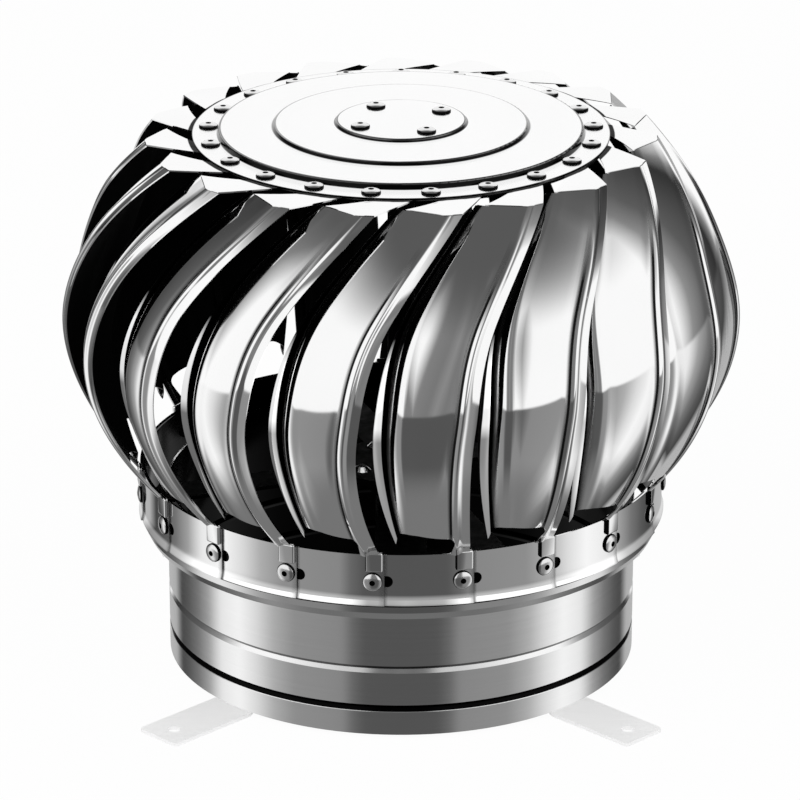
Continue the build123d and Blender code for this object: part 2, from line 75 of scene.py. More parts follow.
class Nodes:
    """Shorthands for the nodes of a world or a material."""

    def __init__(self, owner: bpy.types.ID, output: str) -> None:
        """Empties the owner's node tree.

        Args:
            owner: The world or material.
            output: Type name of its output node.
        """
        owner.use_nodes = True
        self.tree = owner.node_tree
        self.tree.nodes.clear()
        self.output = self.add(output)
        self.place = self.add("ShaderNodeTexCoord").outputs

    def feed(self, node: bpy.types.Node, inputs: Inputs) -> None:
        """Links outputs into a node's inputs, or sets those inputs to plain values.

        Args:
            node: The node.
            inputs: An output of another node or a value, for each input by name or number.
        """
        for into, value in inputs.items():
            if isinstance(value, Out):
                self.tree.links.new(value, node.inputs[into])
            else:
                node.inputs[into].default_value = value

    def add(self, kind: str, inputs: Inputs = EMPTY, **values: object) -> bpy.types.Node:
        """Adds a node, sets its own properties and feeds its inputs.

        Args:
            kind: The node's type name.
            inputs: What goes into its inputs.
            **values: Properties of the node.

        Returns:
            The new node.
        """
        node = self.tree.nodes.new(kind)
        for key, value in values.items():
            setattr(node, key, value)
        self.feed(node, inputs)
        return node

    def math(self, operation: str, *values: object) -> Out:
        """Works a sum on outputs or plain numbers."""
        return self.add("ShaderNodeMath", dict(enumerate(values)), operation=operation).outputs["Value"]

    def product(self, first: object, *others: object) -> Out:
        """Multiplies outputs or plain numbers, in turn.

        Args:
            first: The first.
            *others: The others.

        Returns:
            The product.
        """
        for other in others:
            first = self.math("MULTIPLY", first, other)
        return first

    def vector(self, operation: str, *values: object) -> bpy.types.bpy_prop_collection:
        """Works a sum on vectors, with the outputs Vector and Value."""
        return self.add("ShaderNodeVectorMath", dict(enumerate(values)), operation=operation).outputs

    def split(self, vector: Out) -> bpy.types.bpy_prop_collection:
        """Splits a vector into the outputs X, Y and Z."""
        return self.add("ShaderNodeSeparateXYZ", {"Vector": vector}).outputs

    def border(
        self, value: Out, low: float, high: float,
        edge: Edge = Edge.STRAIGHT, ends: tuple[float, float] = (0.0, 1.0),
    ) -> Out:
        """Passes from one end to the other while a value goes from low to high."""
        inputs = {"Value": value, "From Min": low, "From Max": high, "To Min": ends[0], "To Max": ends[1]}
        return self.add("ShaderNodeMapRange", inputs, interpolation_type=edge.value).outputs["Result"]

    def ramp(self, value: Out, stops: Stops) -> Out:
        """Turns a value into a grey by stops.

        Args:
            value: What the ramp reads.
            stops: Position and grey of each stop.

        Returns:
            The grey.
        """
        node = self.add("ShaderNodeValToRGB", {"Fac": value})
        elements = node.color_ramp.elements
        while len(elements) < len(stops):
            elements.new(0.5)
        for element, (position, grey) in zip(elements, stops):
            element.position = position
            element.color = (grey, grey, grey, 1)
        return node.outputs["Color"]

    def mixed(self, share: Out, first: object, second: object) -> Out:
        """Mixes two colours by the share of the second."""
        inputs = {"Factor": share, "A": first, "B": second}
        return self.add("ShaderNodeMix", inputs, data_type="RGBA").outputs["Result"]

    def surface(self, share: Out, first: Out, second: Out) -> None:
        """Shows two shaders, mixed by the share of the second."""
        mix = self.add("ShaderNodeMixShader", {0: share, 1: first, 2: second})
        self.feed(self.output, {"Surface": mix.outputs["Shader"]})


class Finish(Nodes):
    """A material with one shader, and what the cowl's finishes have in common."""

    def __init__(self, name: str, metallic: float = 1.0) -> None:
        """Makes a plain material.

        Args:
            name: Its name.
            metallic: How metallic the shader is.
        """
        self.material = bpy.data.materials.new(name)
        super().__init__(self.material, "ShaderNodeOutputMaterial")
        self.shader = self.add("ShaderNodeBsdfPrincipled", {"Metallic": metallic})
        self.feed(self.output, {"Surface": self.shader.outputs["BSDF"]})

    def noise(
        self, scale: float, detail: float = 3.0, stretch: tuple[float, float, float] = (1, 1, 1)
    ) -> Out:
        """Noise on the object coordinates.

        Args:
            scale: The noise's scale per metre.
            detail: Its octaves.
            stretch: Scale of the coordinates.

        Returns:
            The noise.
        """
        mapping = self.add("ShaderNodeMapping", {"Scale": stretch, "Vector": self.place["Object"]})
        inputs = {"Scale": scale, "Detail": detail, "Vector": mapping.outputs["Vector"]}
        return self.add("ShaderNodeTexNoise", inputs).outputs["Fac"]

    def streaks(self, noise: Out, low: float, high: float) -> Out:
        """Turns noise into greys between two values."""
        return self.ramp(noise, ((0.3, low), (0.7, high)))

    def bumped(self, height: Out, strength: float, distance: float) -> Out:
        """Normal of a surface that a height raises by up to a distance in metres."""
        inputs = {"Height": height, "Strength": strength, "Distance": distance}
        return self.add("ShaderNodeBump", inputs).outputs["Normal"]

    def textured(self, noise: Out, rough: tuple[float, float], strength: float, distance: float) -> None:
        """Lets noise roughen the sheet and raise it by up to a distance in metres."""
        normal = self.bumped(noise, strength, distance)
        self.feed(self.shader, {"Roughness": self.streaks(noise, *rough), "Normal": normal})

    def in_plan(self) -> Out:
        """Place in plan, with no height."""
        return self.vector("MULTIPLY", self.place["Object"], (1, 1, 0))["Vector"]

    def radius(self) -> Out:
        """Distance from the axis in metres."""
        return self.vector("LENGTH", self.in_plan())["Value"]

    def outer(self) -> Out:
        """Tells outer faces from inner ones, so that the finishes can paint shade on the inner faces.

        Returns:
            One on faces that look away from the axis or up, nought on those that look inward.
        """
        outward = self.vector("NORMALIZE", self.in_plan())["Vector"]
        facing = self.vector("DOT_PRODUCT", outward, self.place["Normal"])["Value"]
        return self.border(facing, FACING_IN, FACING_OUT)

    def shade(self, colour: Out, lit: Out) -> None:
        """Sets the base colour with painted shade: near black where lit is nought."""
        self.feed(self.shader, {"Base Color": self.mixed(lit, NEAR_BLACK, colour)})

    def mirrored_as(self, other: Out) -> None:
        """Shows another shader in what polished pieces mirror."""
        glossy = self.add("ShaderNodeLightPath").outputs["Is Glossy Ray"]
        self.surface(glossy, self.shader.outputs["BSDF"], other)


@dataclass(frozen=True)
class SatinSteel:
    """Rolled duct sheet with fine lines round the axis, and painted shade that can fall above a height, in a
    band of heights and on faces that slope down, and always falls on inner faces. Heights in metres.
    """

    name: str
    tone: float = 0.82
    rough: tuple[float, float] = (0.10, 0.14)
    painted_shade_above: float = 1.0
    shaded_slope: float = -2.0
    painted_shade_band: tuple[float, float] = (-1.0, -0.9)

    def material(self) -> bpy.types.Material:
        """Makes the finish.

        Returns:
            The material.
        """
        kit = Finish(self.name)
        lines = kit.noise(9.0, 6.0, (1, 1, 90))
        height = kit.split(kit.place["Object"])["Z"]
        below = kit.math("LESS_THAN", height, self.painted_shade_above)
        low, high = self.painted_shade_band
        band = kit.math("COMPARE", height, (low + high) / 2, (high - low) / 2)
        upward = kit.split(kit.place["Normal"])["Z"]
        level = kit.math("GREATER_THAN", upward, self.shaded_slope)
        # Painted shade: near black above a height, in a band of heights, on faces that slope down and on
        # inner faces.
        lit = kit.product(below, kit.math("SUBTRACT", 1.0, band), level, kit.outer())
        kit.shade(kit.streaks(lines, self.tone * 0.97, self.tone), lit)
        kit.textured(lines, self.rough, 0.1, 0.00002)
        return kit.material


@dataclass(frozen=True)
class PaleSteel:
    """Pale feet, near white, with a painted glow of light, and left out of what the polished neck mirrors.
    """

    name: str
    tone: float = 0.75
    glow: float = 0.25

    def material(self) -> bpy.types.Material:
        """Makes the finish.

        Returns:
            The material.
        """
        kit = Finish(self.name, metallic=0.0)
        grain = kit.noise(40.0, 5.0, (1, 6, 1))
        kit.feed(kit.shader, {"Base Color": kit.streaks(grain, self.tone * 0.93, self.tone)})
        # The emission paints a glow of light on the feet, which are no lamp.
        kit.feed(kit.shader, {"Roughness": 0.45, "Emission Color": WHITE, "Emission Strength": self.glow})
        kit.mirrored_as(kit.add("ShaderNodeBsdfTransparent").outputs["BSDF"])
        return kit.material


@dataclass(frozen=True)
class TopSteel:
    """Bright top plate with painted shade: dark double lines at its pressed steps and a dark line at its
    edge. Radii in metres.
    """

    name: str
    tone: float = 0.97
    rough: tuple[float, float] = (0.12, 0.2)
    dark: float = 0.005
    between: float = 0.35
    steps: tuple[float, ...] = (0.0265, 0.0524, 0.0754)
    slope: float = 0.0006
    line: float = 0.0004
    foot_line: float = 0.0008
    edge: float = 0.08695

    def stops(self) -> Stops:
        """Greys by radius, which paint shade at the steps and the edge.

        Returns:
            Radius and grey of each stop.
        """
        stops = [(0.0, 1.0)]
        for step in self.steps:
            foot = step + self.slope
            end = foot + self.foot_line
            stops += [
                (step - 0.5 * self.line, 1.0), (step, self.dark), (step + 0.4 * self.slope, self.dark),
                (step + 0.5 * self.slope, self.between), (foot - 0.15 * self.slope, self.between),
                (foot, self.dark), (end, self.dark), (end + 0.4 * self.line, 1.0),
            ]
        return (*stops, (self.edge - 0.00005, 1.0), (self.edge, self.dark))

    def material(self) -> bpy.types.Material:
        """Makes the finish.

        Returns:
            The material.
        """
        kit = Finish(self.name)
        scale = 10.0
        stops = tuple((place * scale, grey) for place, grey in self.stops())
        # Painted shade by radius: dark double lines at the steps and a dark line at the edge.
        lit = kit.ramp(kit.product(kit.radius(), scale), stops)
        grain = kit.noise(60.0, 5.0, (1, 0.2, 1))
        kit.shade(kit.streaks(grain, self.tone * 0.985, self.tone), lit)
        smudges = kit.noise(9.0, 3.0)
        kit.textured(smudges, self.rough, 0.5, 0.00003)
        # Polished pieces mirror the top plate as a painted glow of light.
        kit.mirrored_as(kit.add("ShaderNodeEmission", {"Color": (0.9, 0.9, 0.9, 1)}).outputs["Emission"])
        return kit.material


@dataclass(frozen=True)
class Fitting:
    """Turned or plated metal of shafts, nuts, bearings and rivets."""

    name: str
    colour: tuple[float, float, float]
    rough: tuple[float, float]

    def material(self) -> bpy.types.Material:
        """Makes the finish.

        Returns:
            The material.
        """
        kit = Finish(self.name)
        grain = kit.noise(220.0, 4.0)
        worn = tuple(0.85 * part for part in self.colour)
        kit.feed(kit.shader, {"Base Color": kit.mixed(grain, (*worn, 1), (*self.colour, 1))})
        kit.textured(grain, self.rough, 0.3, 0.00005)
        return kit.material


@dataclass(frozen=True)
class Surroundings:
    """Light tent round the object: greys by degrees from the front, below and above the horizon."""

    low: Stops = (
        (0, 0.088), (18, 0.09), (24, 0.14), (29, 0.25), (54, 0.28), (66, 0.44), (76, 0.74), (87, 0.97),
        (100, 0.85), (110, 0.36), (120, 0.18), (130, 0.10), (140, 0.06), (150, 0.45), (180, 0.5),
    )
    high: Stops = (
        (0, 0.26), (6, 0.19), (16, 0.22), (24, 0.98), (92, 1.0), (98, 0.62), (104, 0.28), (116, 0.11),
        (138, 0.03), (142, 0.2), (148, 1.0), (180, 1.0),
    )
    horizon: tuple[float, float] = (-0.055, -0.01)
    ceiling: tuple[float, float] = (0.64, 0.96)
    ceiling_grey: float = 0.10
    ground: tuple[float, float] = (-0.68, -0.95)
    ground_grey: float = 0.18

    def build(self) -> None:
        """Makes the world from the stops."""
        world = bpy.data.worlds.new("surroundings")
        bpy.context.scene.world = world
        kit = Nodes(world, "ShaderNodeOutputWorld")
        way = kit.split(kit.place["Generated"])
        turn = kit.math("ABSOLUTE", kit.math("ARCTAN2", way["X"], kit.product(way["Y"], -1.0)))
        share = kit.math("DIVIDE", turn, math.pi)
        low, high = (
            kit.ramp(share, tuple((degrees / 180, grey) for degrees, grey in stops))
            for stops in (self.low, self.high)
        )
        walls = kit.mixed(kit.border(way["Z"], *self.horizon, Edge.SOFT), low, high)
        overhead = kit.border(way["Z"], *self.ceiling, Edge.SOFT)
        tent = kit.mixed(overhead, walls, (self.ceiling_grey,) * 3 + (1,))
        under = kit.border(way["Z"], self.ground[1], self.ground[0], Edge.SOFT, (1.0, 0.0))
        whole = kit.mixed(under, tent, (self.ground_grey,) * 3 + (1,))
        around, seen = (
            kit.add("ShaderNodeBackground", {"Color": colour}).outputs["Background"]
            for colour in (whole, WHITE)
        )
        kit.surface(kit.add("ShaderNodeLightPath").outputs["Is Camera Ray"], around, seen)


@dataclass
class Studio:
    """Floor, surroundings, lamps and the camera. Sizes in metres."""

    surroundings: Surroundings = Surroundings()
    distance: float = 2.04705
    elevation: float = 0.370204
    look_height: float = 0.11171
    focal_px: float = 4806.18
    frame_px: float = 800.0
    centre_px: float = 401.07
    sensor_mm: float = 36.0
    floor_radius: float = 6.0
    floor_level: float = -0.0005
    floor_tone: float = 0.9
    floor_rough: float = 0.9
    floor_white: float = 0.97
    mouth_shade_middle: tuple[float, float, float] = (0.0, 0.0048, 0.0)
    mouth_shade_edge: tuple[float, float] = (0.0993, 0.1003)
    lamp_aim: float = 0.12

    def camera(self) -> None:
        """Adds the camera that the photograph was solved for."""
        data = bpy.data.cameras.new("camera")
        data.sensor_width = self.sensor_mm
        data.lens = self.focal_px * self.sensor_mm / self.frame_px
        data.shift_x = (self.frame_px / 2 - self.centre_px) / self.frame_px
        data.clip_start = 0.1
        data.clip_end = 50.0
        camera = placed("camera", data)
        away, up = self.distance * math.cos(self.elevation), self.distance * math.sin(self.elevation)
        camera.location = (0.0, -away, self.look_height + up)
        camera.rotation_euler = (math.pi / 2 - self.elevation, 0.0, 0.0)
        bpy.context.scene.camera = camera
        log.info("camera: %.3f m away", self.distance)

    def floor(self) -> None:
        """Adds the pale floor, with painted shade for the flue's mouth under the neck, set a little back so
        that it reaches out past the neck's foot behind it.
        """
        deselect()
        bpy.ops.mesh.primitive_circle_add(
            vertices=96, radius=self.floor_radius, fill_type="NGON", location=(0, 0, self.floor_level)
        )
        floor = bpy.context.active_object
        floor.name = "floor"
        kit = Finish("pale_floor", metallic=0.0)
        # Painted shade: the floor is black inside the flue's mouth, to lamps and to the camera.
        from_middle = kit.vector("DISTANCE", kit.place["Object"], self.mouth_shade_middle)["Value"]
        whole_floor = kit.border(from_middle, *self.mouth_shade_edge)
        kit.feed(kit.shader, {"Base Color": kit.product(whole_floor, self.floor_tone)})
        kit.feed(kit.shader, {"Roughness": self.floor_rough})
        bright = kit.add("ShaderNodeEmission", {"Color": whole_floor})
        camera_ray = kit.add("ShaderNodeLightPath").outputs["Is Camera Ray"]
        white = kit.product(camera_ray, self.floor_white)
        kit.surface(white, kit.shader.outputs["BSDF"], bright.outputs["Emission"])
        floor.data.materials.append(kit.material)
        floor.visible_glossy = False
        log.info("floor: %.1f m round", self.floor_radius)

    def lamp(self, name: str, place: tuple[float, float, float], size: float, power: float) -> None:
        """Adds a square soft lamp that looks at the cowl.

        Args:
            name: The lamp's name.
            place: Its place.
            size: Its side.
            power: Its power in watts.
        """
        data = bpy.data.lights.new(name, "AREA")
        data.size = size
        data.energy = power
        lamp = placed(name, data)
        lamp.location = place
        aim = Vector((0, 0, self.lamp_aim)) - Vector(place)
        lamp.rotation_euler = aim.to_track_quat("-Z", "Y").to_euler()
        lamp.visible_glossy = False
        log.info("lamp %s: %.0f W", name, power)

    def build(self) -> None:
        """Builds the whole studio."""
        self.camera()
        self.surroundings.build()
        self.floor()
        self.lamp("key", place=(-1.4, -1.6, 2.2), size=1.4, power=30.0)
        self.lamp("fill", place=(1.8, -1.2, 1.4), size=1.2, power=15.0)


def deselect() -> None:
    """Leaves nothing selected."""
    bpy.ops.object.select_all(action="DESELECT")


def choose(pieces: list[bpy.types.Object]) -> None:
    """Selects pieces, with the first as the active one.

    Args:
        pieces: The pieces.
    """
    deselect()
    for piece in pieces:
        piece.select_set(True)
    bpy.context.view_layer.objects.active = pieces[0]


def turned(radius: float, turn: float) -> Vector:
    """Point in plan at a radius and a turn in degrees."""
    return Vector((radius * math.cos(math.radians(turn)), radius * math.sin(math.radians(turn))))


def bent(start: Vector, bow: Vector, end: Vector, part: float) -> Vector:
    """Point at a share of the curve from start to end that bow pulls on."""
    return start * (1 - part) ** 2 + bow * 2 * part * (1 - part) + end * part ** 2


def outward_faces() -> None:
    """Turns the active piece's faces outward."""
    bpy.ops.object.mode_set(mode="EDIT")
    bpy.ops.mesh.select_all(action="SELECT")
    bpy.ops.mesh.normals_make_consistent(inside=False)
    bpy.ops.object.mode_set(mode="OBJECT")


def placed(name: str, data: bpy.types.ID) -> bpy.types.Object:
    """Puts a mesh, a lamp or a camera into the scene.

    Args:
        name: Its name.
        data: The mesh, lamp or camera.

    Returns:
        The new object.
    """
    piece = bpy.data.objects.new(name, data)
    bpy.context.scene.collection.objects.link(piece)
    return piece


def marks_of(piece: bpy.types.Object) -> bpy.types.MeshUVLoopLayer:
    """Finds or adds the UV map that holds a piece's marks.

    Args:
        piece: The piece.

    Returns:
        The UV map.
    """
    layer = piece.data.uv_layers.active or piece.data.uv_layers.new(name="marks")
    layer.name = "marks"
    return layer


def sheet_grid(
    name: str, places: list[list[Vector]], marks: list[float], shares: list[float], thickness: float
) -> bpy.types.Object:
    """Shapes a grid primitive into a sheet that keeps its marks as a UV map, and thickens it.

    Args:
        name: The piece's name.
        places: Rows of points on the sheet's middle, in millimetres.
        marks: The mark of each column.
        shares: The share of each row.
        thickness: In millimetres.

    Returns:
        The sheet.
    """
    deselect()
    rows, columns = len(places), len(places[0])
    bpy.ops.mesh.primitive_grid_add(x_subdivisions=columns - 1, y_subdivisions=rows - 1, size=1)
    sheet = bpy.context.active_object
    sheet.name = name
    order = sorted(sheet.data.vertices, key=lambda vertex: (round(vertex.co.y, 5), round(vertex.co.x, 5)))
    uv_of = {}
    for number, vertex in enumerate(order):
        row, column = divmod(number, columns)
        vertex.co = places[row][column] / 1000
        uv_of[vertex.index] = (marks[column] / 10, shares[row])
    layer = marks_of(sheet)
    for loop in sheet.data.loops:
        layer.data[loop.index].uv = uv_of[loop.vertex_index]
    outward_faces()
    solid = sheet.modifiers.new("sheet", "SOLIDIFY")
    solid.thickness = thickness / 1000
    solid.offset = 0.0
    solid.use_even_offset = True
    solid.thickness_clamp = 1.0
    choose([sheet])
    bpy.ops.object.modifier_apply(modifier=solid.name)
    outward_faces()
    return sheet


def carve(sheet: bpy.types.Object, cutter: bpy.types.Object) -> None:
    """Takes a cutter out of a sheet.

    Args:
        sheet: The sheet.
        cutter: The cutter, which is removed.
    """
    boolean = sheet.modifiers.new("cut", "BOOLEAN")
    boolean.operation = "DIFFERENCE"
    boolean.solver = "EXACT"
    boolean.object = cutter
    choose([sheet])
    bpy.ops.object.modifier_apply(modifier=boolean.name)
    bpy.data.objects.remove(cutter)


def dress(body: Body, names: list[str], material: bpy.types.Material) -> None:
    """Gives CAD nodes a finish.

    Args:
        body: The body that they ride on.
        names: The nodes' names.
        material: The finish.
    """
    for name in names:
        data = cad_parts[name].data
        data.materials.clear()
        data.materials.append(material)
        log.info("%s on %s: %s", name, body.value, material.name)


@dataclass(frozen=True)
class BladeLevel:
    """One level of a vane's blade, sizes in millimetres and turns in degrees."""

    share: float
    bulge: float
    edge_turn: float
    brow_inset: float
    lip_inset: float


@dataclass
class Vane:
    """One pressed vane: plate, tongue, blade with its bead and hooked lip, and tab.

    Sizes are in millimetres and turns in degrees. Marks tell the finish where it is on the sheet: 0 to 7
    from the blade's free edge round to the lip's, plain_mark on the tab and the tongue save its side that
    looks toward -Y, which takes a dark mark where the finish paints shade, and from plate_mark on across the
    plate.
    """

    ring_radius: float = 110.25
    rim_radius: float = 87.1
    sheet: float = 0.6
    pitch: float = 360 / 19
    smooth_angle: float = 32.0
    plain_mark: float = 7.5
    painted_shade_mark: float = 5.0
    plate_mark: float = 8.0
    plate_bottom: float = 64.9
    plate_top: float = 87.2
    plate_gap: float = 0.05
    plate_flare: float = 0.9
    flare_height: float = 5.0
    plate_right: float = 2.47
    plate_left: float = -21.55
    plate_columns: int = 48
    plate_rows: int = 16
    slot_level: float = 75.4
    slot_radius: float = 2.5
    slot_middle: float = 110.5
    slot_depth: float = 20.0
    slot_past_seam: float = 3.5
    blade_root: float = 86.8
    crease_level: float = 230.6
    flange_width: float = 3.6
    bead_width: float = 4.0
    bead_height: float = 1.5
    bead_fade: float = 24.0
    bead_trace: float = 0.15
    brow_turn: float = 12.3
    brow_spread: float = 1.9
    brow_spread_peak: float = 0.1055
    hook_turn: float = 2.2
    hook_spread: float = 2.2
    gutter_least: float = 1.3
    gutter_rise: float = 7.0
    gutter_floor: float = 1.2
    lip_width: float = 3.4
    lip_least: float = 0.6
    lip_end: float = 0.68
    crown: float = 0.9
    face_steps: int = 8
    blade_rows: int = 72
    levels: tuple[BladeLevel, ...] = (
        BladeLevel(0.0, 1.2, 1.6, 0.13, 0.32),
        BladeLevel(0.193, 25.5, -0.9, 4.8, 7.6),
        BladeLevel(0.45, 41.8, -1.0, 8.0, 10.4),
        BladeLevel(0.742, 37.1, 4.1, 12.1, 12.8),
        BladeLevel(1.0, 19.5, 19.2, 8.4, 9.4),
    )
    bends: tuple[tuple[float, int], ...] = ((0.8, 3), (1.5, 6), (0.55, 4), (5.0, 10), (0.6, 3), (0.7, 3))
    bend_share: float = 0.45
    brow: int = 4
    brow_tightening: float = 4.0
    window_turns: tuple[float, float] = (-14.6, -2.6)
    window_reach: tuple[float, float] = (60.0, 160.0)
    window_below: float = 8.0
    window_above: float = 10.0
    window_slant: float = 3.0
    window_rounding: float = 3.2
    tab_rows: int = 8
    tab_inset: float = 9.1
    tab_ends: tuple[float, float] = (26.0, 33.0)
    tab_bows: tuple[tuple[float, float], ...] = ((1.6, 19.0), (1.0, 28.2))
    tongue_bottom: float = 80.0
    tongue_top: float = 88.6
    tongue_radius: float = 111.99
    tongue_right: float = 0.6
    tongue_depth: float = 2.1
    tongue_width: float = 7.2
    tongue_rounding: float = 0.8

    @staticmethod
    def slope(marks: list[float], line: list[float], index: int) -> float:
        """Slope of a smooth curve at one of its marks.

        Args:
            marks: Places of the marks.
            line: Values at the marks.
            index: Which mark.

        Returns:
            The slope of the parabola through it and its neighbours.
        """
        middle = min(max(index, 1), len(marks) - 2)
        before, here, after = marks[middle - 1: middle + 2]
        rise_low = (line[middle] - line[middle - 1]) / (here - before)
        rise_high = (line[middle + 1] - line[middle]) / (after - here)
        bend = (rise_high - rise_low) / (after - before)
        return rise_low + bend * (2 * marks[index] - before - here)

    def level_at(self, share: float) -> BladeLevel:
        """Reads the blade's sizes between its levels, along smooth curves.

        Args:
            share: Share of the way up the blade.

        Returns:
            The sizes at that share.
        """
        marks = [level.share for level in self.levels]
        index = max(i for i in range(len(marks) - 1) if marks[i] <= share)
        step = marks[index + 1] - marks[index]
        part = (share - marks[index]) / step
        square, cube = part * part, part ** 3
        values = []
        for name in ("bulge", "edge_turn", "brow_inset", "lip_inset"):
            line = [getattr(level, name) for level in self.levels]
            slopes = [self.slope(marks, line, i) for i in (index, index + 1)]
            values.append(
                (2 * cube - 3 * square + 1) * line[index]
                + (cube - 2 * square + part) * step * slopes[0]
                + (3 * square - 2 * cube) * line[index + 1]
                + (cube - square) * step * slopes[1]
            )
        return BladeLevel(share, *values)

    def corners(self, share: float) -> list[Vector]:
        """Corners of the sheet's middle line at one height, from the free edge round to the lip.

        Args:
            share: Share of the way up the blade.

        Returns:
            The corners in plan, in millimetres.
        """
        level = self.level_at(share)
        swell = math.sin(math.pi * share)
        radius = self.ring_radius + (self.rim_radius - self.ring_radius) * share + level.bulge
        fade = min(1.0, (1 - share) * (self.crease_level - self.blade_root) / self.bead_fade)
        bead = self.bead_height * (self.bead_trace + (1 - self.bead_trace) * fade)
        bead_start = level.edge_turn - math.degrees(self.flange_width / radius)
        half_bead = math.degrees(self.bead_width / 2 / radius)
        widening = self.brow_spread * share ** 3 * (1 - share) / self.brow_spread_peak
        brow = level.edge_turn - self.brow_turn - widening
        lip = level.edge_turn - self.brow_turn - self.hook_turn - self.hook_spread * swell
        lip_radius = radius - level.lip_inset
        floor_radius = lip_radius - self.gutter_least - self.gutter_rise * swell
        growth = max(0.0, math.sin(math.pi * share / self.lip_end))
        reach = self.lip_least + (self.lip_width - self.lip_least) * growth
        return [
            turned(radius, level.edge_turn),
            turned(radius, bead_start),
            turned(radius + bead, bead_start - half_bead),
            turned(radius, bead_start - 2 * half_bead),
            turned(radius - level.brow_inset, brow),
            turned(floor_radius, lip + math.degrees(self.gutter_floor / floor_radius)),
            turned(lip_radius, lip),
            turned(lip_radius, lip + math.degrees(reach / lip_radius)),
        ]

    def face(self, start: Vector, end: Vector, share: float) -> list[tuple[Vector, float]]:
        """Points of the broad face before the brow, which bows out a little.

        Args:
            start: Where the face starts.
            end: Where it ends.
            share: Share of the way up the blade.

        Returns:
            Points in plan with their marks.
        """
        line = end - start
        outward = Vector((line.y, -line.x)).normalized()
        if outward.dot(end) < 0:
            outward = -outward
        points = []
        for step in range(1, self.face_steps):
            part = step / self.face_steps
            bow = self.crown * (1 - share ** 6) * 4 * part * (1 - part)
            points.append((start + line * part + outward * bow, self.brow - 0.75 + 0.5 * part))
        return points

    def section(self, share: float) -> list[tuple[Vector, float]]:
        """The sheet's middle line at one height with its bends rounded.

        Args:
            share: Share of the way up the blade.

        Returns:
            Points in plan with a mark that grows by one from corner to corner.
        """
        corners = self.corners(share)
        points: list[tuple[Vector, float]] = [(corners[0], 0.0)]
        for index, (reach, count) in enumerate(self.bends, start=1):
            before, here, after = corners[index - 1: index + 2]
            if index == self.brow:
                reach -= self.brow_tightening * share ** 6
            into = min(reach, self.bend_share * (here - before).length)
            out = min(reach, self.bend_share * (after - here).length)
            start = here + (before - here).normalized() * into
            end = here + (after - here).normalized() * out
            if index == self.brow:
                points += self.face(points[-1][0], start, share)
            # The marks of a bend reach a quarter to either side of its corner's number.
            for step in range(count):
                part = step / (count - 1)
                points.append((bent(start, here, end, part), index - 0.25 + 0.5 * part))
        points.append((corners[-1], float(len(corners) - 1)))
        return points

    def blade(self) -> bpy.types.Object:
        """Models the blade from a grid whose rows follow the section up to the crease.

        Returns:
            The blade.
        """
        shares = [row / self.blade_rows for row in range(self.blade_rows + 1)]
        sections = [self.section(share) for share in shares]
        heights = [self.blade_root + (self.crease_level - self.blade_root) * share for share in shares]
        places = [
            [Vector((point.x, point.y, height)) for point, mark in section]
            for height, section in zip(heights, sections)
        ]
        marks = [mark for point, mark in sections[0]]
        return sheet_grid("blade", places, marks, shares, self.sheet)

    def plate(self) -> bpy.types.Object:
        """Models the plate, which winds out from under its neighbour and flares a little at its foot.

        Returns:
            The plate.
        """
        across = [column / self.plate_columns for column in range(self.plate_columns + 1)]
        shares = [row / self.plate_rows for row in range(self.plate_rows + 1)]
        places = []
        for share in shares:
            line = []
            height = self.plate_bottom + (self.plate_top - self.plate_bottom) * share
            flare = self.plate_flare * max(0.0, 1 - (height - self.plate_bottom) / self.flare_height) ** 2
            for part in across:
                turn = self.plate_left + (self.plate_right - self.plate_left) * part
                radius = (
                    self.ring_radius + self.plate_gap + self.sheet / 2 + flare
                    + (self.sheet + self.plate_gap) / self.pitch * (turn - self.plate_left)
                )
                line.append(Vector((*turned(radius, turn), height)))
            places.append(line)
        return sheet_grid("plate", places, [self.plate_mark + part for part in across], shares, self.sheet)

    def tab(self) -> bpy.types.Object:
        """Models the flat tab that runs in under the rim.

        Returns:
            The tab.
        """
        crease = [point for point, mark in self.section(1.0) if mark <= self.brow][::-1]
        ends = [turned(self.rim_radius - self.tab_inset, turn) for turn in self.tab_ends]
        bows = [turned(self.rim_radius + reach, turn) for reach, turn in self.tab_bows]
        height = self.crease_level + self.sheet / 2
        shares = [row / self.tab_rows for row in range(self.tab_rows + 1)]
        places = []
        for share in shares:
            line = []
            for column, start in enumerate(crease):
                across = column / (len(crease) - 1)
                end = ends[0] + (ends[1] - ends[0]) * across
                bow = bows[0] + (bows[1] - bows[0]) * across
                line.append(Vector((*bent(start, bow, end, share), height)))
            places.append(line)
        return sheet_grid("tab", places, [self.plain_mark] * len(crease), shares, self.sheet)

    def tongue(self) -> bpy.types.Object:
        """Models the tongue: the bead's lower end, pressed out over the plate.

        Returns:
            The tongue.
        """
        middle = Vector((self.tongue_radius, self.tongue_right, (self.tongue_bottom + self.tongue_top) / 2))
        size = Vector((self.tongue_depth, self.tongue_width, self.tongue_top - self.tongue_bottom))
        deselect()
        bpy.ops.mesh.primitive_cube_add(size=1, location=middle / 1000)
        tongue = bpy.context.active_object
        bpy.ops.transform.resize(value=size / 1000)
        bpy.ops.object.transform_apply(location=True, rotation=True, scale=True)
        bevel = tongue.modifiers.new("round", "BEVEL")
        bevel.width = self.tongue_rounding / 1000
        bevel.segments = 4
        bevel.limit_method = "ANGLE"
        bpy.ops.object.modifier_apply(modifier=bevel.name)
        layer = marks_of(tongue)
        for polygon in tongue.data.polygons:
            # The side that looks toward -Y takes the mark that the finish paints as shade.
            mark = self.painted_shade_mark if polygon.normal.y < -0.5 else self.plain_mark
            for loop in polygon.loop_indices:
                layer.data[loop].uv = (mark / 10, 0.5)
        return tongue

